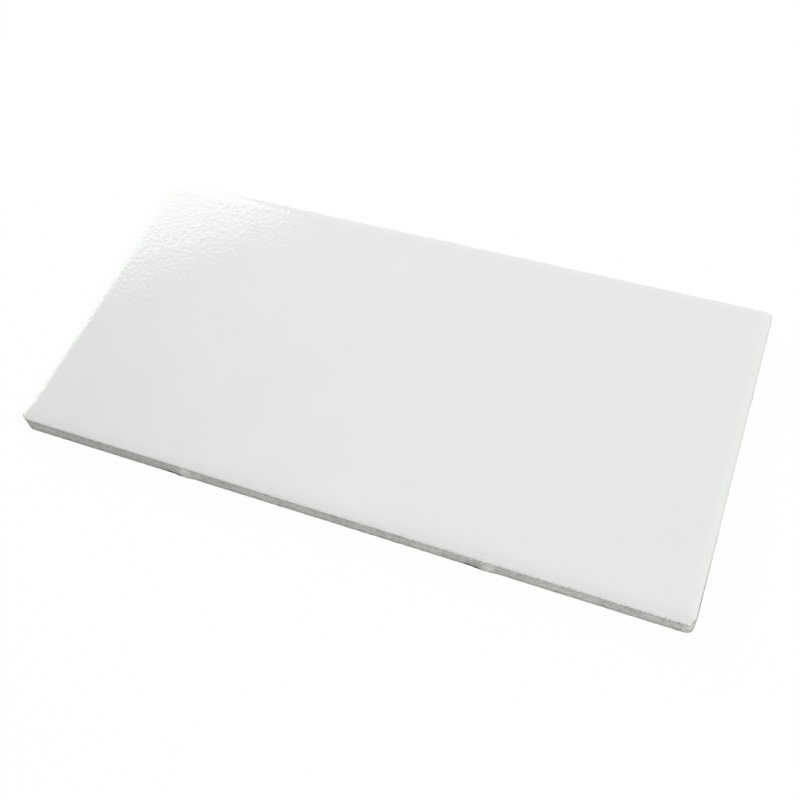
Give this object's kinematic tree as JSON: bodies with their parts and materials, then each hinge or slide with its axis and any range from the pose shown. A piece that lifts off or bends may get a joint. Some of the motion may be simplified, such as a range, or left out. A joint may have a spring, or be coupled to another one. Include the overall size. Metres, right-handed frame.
{
  "type": "porcelain tile",
  "caption": "Flat rectangular porcelain wall tile with a glossy white glaze, softly rolled cushion edges, bare grey sides with low spacer lugs and a ribbed back.",
  "frame": {"origin": "middle of the back, in the plane of its ribs, which is the plane the tile lies on", "axes": "+X along the tile's length, +Y along its width, +Z out of the glazed face"},
  "size_m": [0.2004, 0.1006, 0.007],
  "materials": {
    "glazed_porcelain": "gloss"
  },
  "bodies": {
    "root": {"tile": "glazed_porcelain"}
  },
  "joints": []
}
